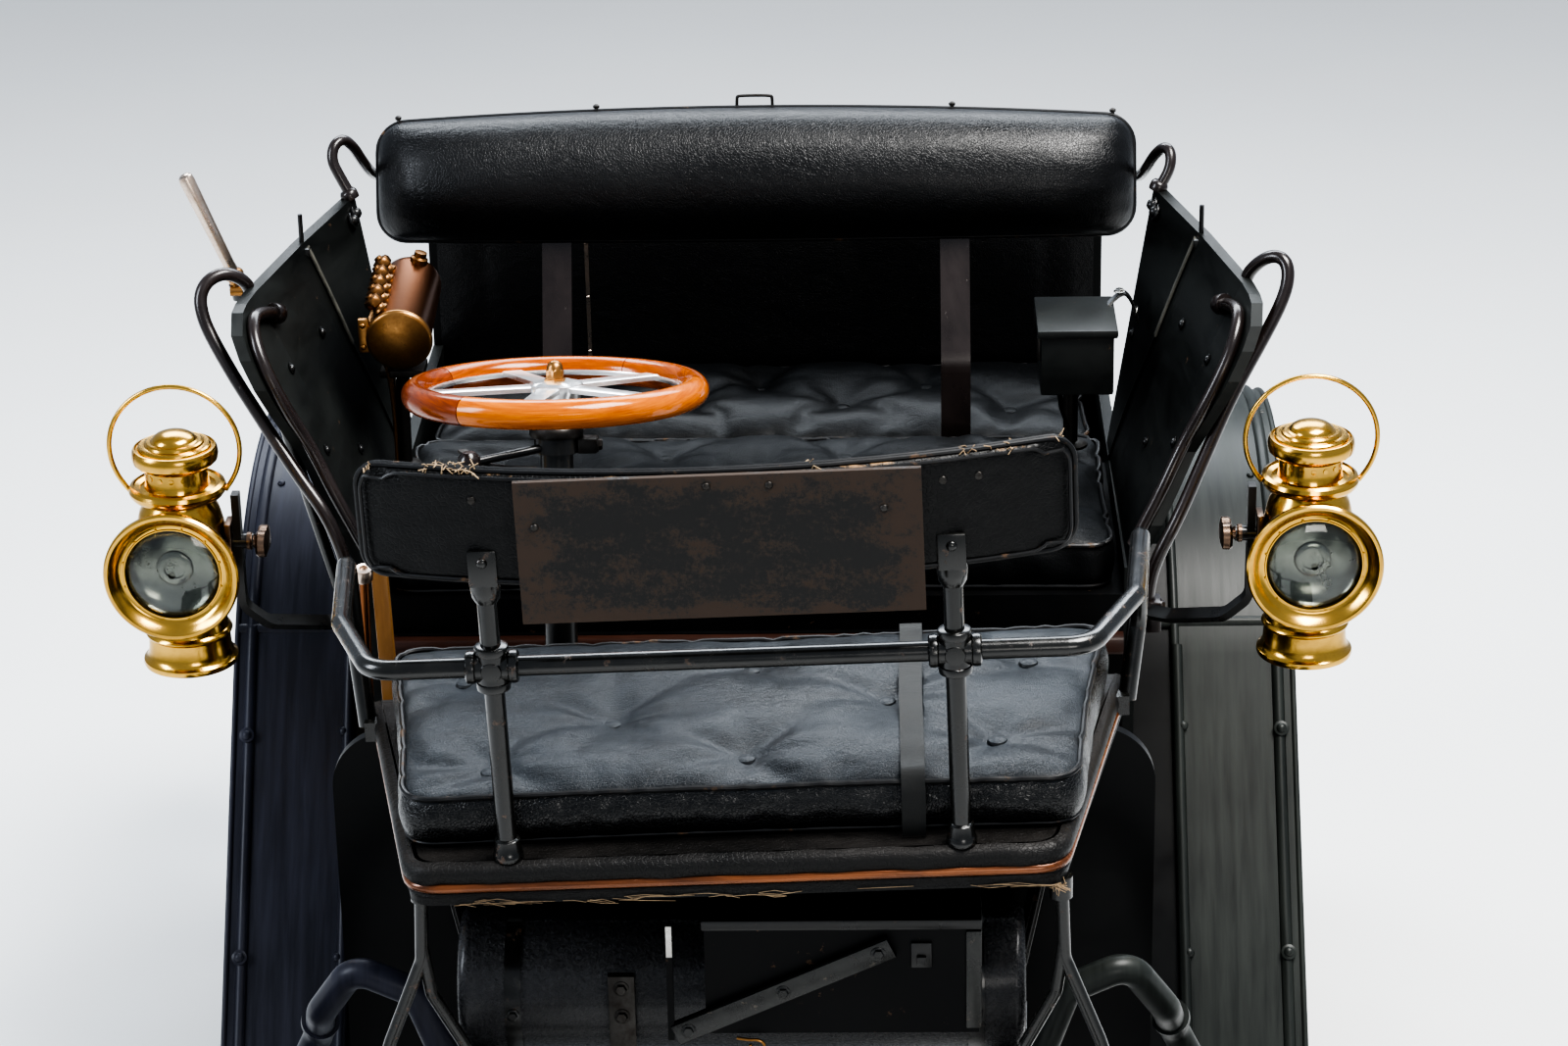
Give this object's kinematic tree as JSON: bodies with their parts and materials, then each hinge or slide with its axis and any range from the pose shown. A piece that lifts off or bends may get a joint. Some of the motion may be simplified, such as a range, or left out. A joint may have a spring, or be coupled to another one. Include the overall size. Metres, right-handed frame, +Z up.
{
  "type": "brass era car",
  "caption": "Small brass era car with a forward bench facing the driver, roll backrest, brass side lamps, wood spoked wheels, leather seats and black mudguards.",
  "frame": {"origin": "on the ground, at the centre of the car's bounding box", "axes": "+Z up, -Y the front of the car, +X the car's left side"},
  "size_m": [1.46, 2.44, 1.4184],
  "materials": {
    "body_paint": "satin black paint, worn",
    "frame_paint": "brushed black paint, worn",
    "plate_paint": "weathered brown-black paint",
    "wheel_paint": "black painted wood",
    "iron": "dark oiled iron",
    "leather": "worn black leather",
    "wood_varnish": "varnished wood",
    "wood_floor": "worn floor boards",
    "wood_red": "red-brown varnish",
    "brass": "polished brass",
    "copper": "tarnished copper",
    "aluminium": "bright aluminium",
    "nickel": "worn nickel plate",
    "straw": "frayed stuffing",
    "lamp_glass": "clear glass",
    "tyre_rubber": "dusty black rubber"
  },
  "bodies": {
    "car_body": {"chassis_frame": "frame_paint", "leaf_springs": "iron", "front_axle": "frame_paint", "rear_axle": "frame_paint", "engine_block": "iron", "footwell_floor": "wood_floor", "dash_panel": "body_paint", "seat_box": "body_paint", "side_panels": "body_paint", "front_seat_base": "body_paint", "front_seat_cushion": "leather", "driver_seat_cushion": "leather", "rear_seat_cushion": "leather", "backrest_bars": "frame_paint", "backrest_bolster": "leather", "front_seat_rail": "frame_paint", "front_seat_back": "leather", "number_plate": "plate_paint", "front_seat_stays": "iron", "fuel_tank": "body_paint", "battery_box": "body_paint", "rear_mudguards": "body_paint", "front_mudguards": "body_paint", "lamps": "brass", "lamp_glasses": "lamp_glass", "lamp_brackets": "iron", "grab_rails": "frame_paint", "lubricator": "copper", "coil_box": "body_paint", "brake_lever": "iron", "steering_column": "iron"},
    "tailboard_leaf": {"tailboard": "body_paint"},
    "steering_hand_wheel": {"steering_wheel": "wood_varnish"},
    "left_knuckle": {"knuckle_left": "iron"},
    "right_knuckle": {"knuckle_right": "iron"},
    "track_rod": {"tie_rod": "iron"},
    "front_left_wheel": {"wheel_front_left": "wheel_paint", "tyre_front_left": "tyre_rubber"},
    "front_right_wheel": {"wheel_front_right": "wheel_paint", "tyre_front_right": "tyre_rubber"},
    "rear_left_wheel": {"wheel_rear_left": "wheel_paint", "tyre_rear_left": "tyre_rubber"},
    "rear_right_wheel": {"wheel_rear_right": "wheel_paint", "tyre_rear_right": "tyre_rubber"}
  },
  "joints": [
    {"name": "steering_turn", "type": "hinge", "parent": "car_body", "child": "steering_hand_wheel", "pos_m": [-0.212, -0.175, 1.26], "axis": [0, 0.1994, 0.9799], "range_deg": [-112, 112]},
    {"name": "kingpin_left", "type": "hinge", "parent": "car_body", "child": "left_knuckle", "pos_m": [0.53, -0.79, 0.312], "axis": [0, 0, 1], "range_deg": [-28, 28]},
    {"name": "kingpin_right", "type": "hinge", "parent": "car_body", "child": "right_knuckle", "pos_m": [-0.53, -0.79, 0.312], "axis": [0, 0, 1], "range_deg": [-28, 28]},
    {"name": "track_rod_pin", "type": "hinge", "parent": "left_knuckle", "child": "track_rod", "pos_m": [0.53, -0.65, 0.25], "axis": [0, 0, 1], "range_deg": [-28, 28]},
    {"name": "wheel_spin_front_left", "type": "hinge", "parent": "left_knuckle", "child": "front_left_wheel", "pos_m": [0.62, -0.79, 0.312], "axis": [1, 0, 0], "continuous": true},
    {"name": "wheel_spin_front_right", "type": "hinge", "parent": "right_knuckle", "child": "front_right_wheel", "pos_m": [-0.62, -0.79, 0.312], "axis": [1, 0, 0], "continuous": true},
    {"name": "wheel_spin_rear_left", "type": "hinge", "parent": "car_body", "child": "rear_left_wheel", "pos_m": [0.62, 0.75, 0.395], "axis": [1, 0, 0], "continuous": true},
    {"name": "wheel_spin_rear_right", "type": "hinge", "parent": "car_body", "child": "rear_right_wheel", "pos_m": [-0.62, 0.75, 0.395], "axis": [1, 0, 0], "continuous": true},
    {"name": "tailboard_hinge", "type": "hinge", "parent": "car_body", "child": "tailboard_leaf", "pos_m": [0, 0.794, 0.586], "axis": [-1, 0, 0], "range_deg": [0, 90]}
  ],
  "couplings": [
    {"joint": "kingpin_left", "follows": "steering_turn", "ratio": 0.25},
    {"joint": "kingpin_right", "follows": "steering_turn", "ratio": 0.25},
    {"joint": "track_rod_pin", "follows": "steering_turn", "ratio": -0.25}
  ]
}
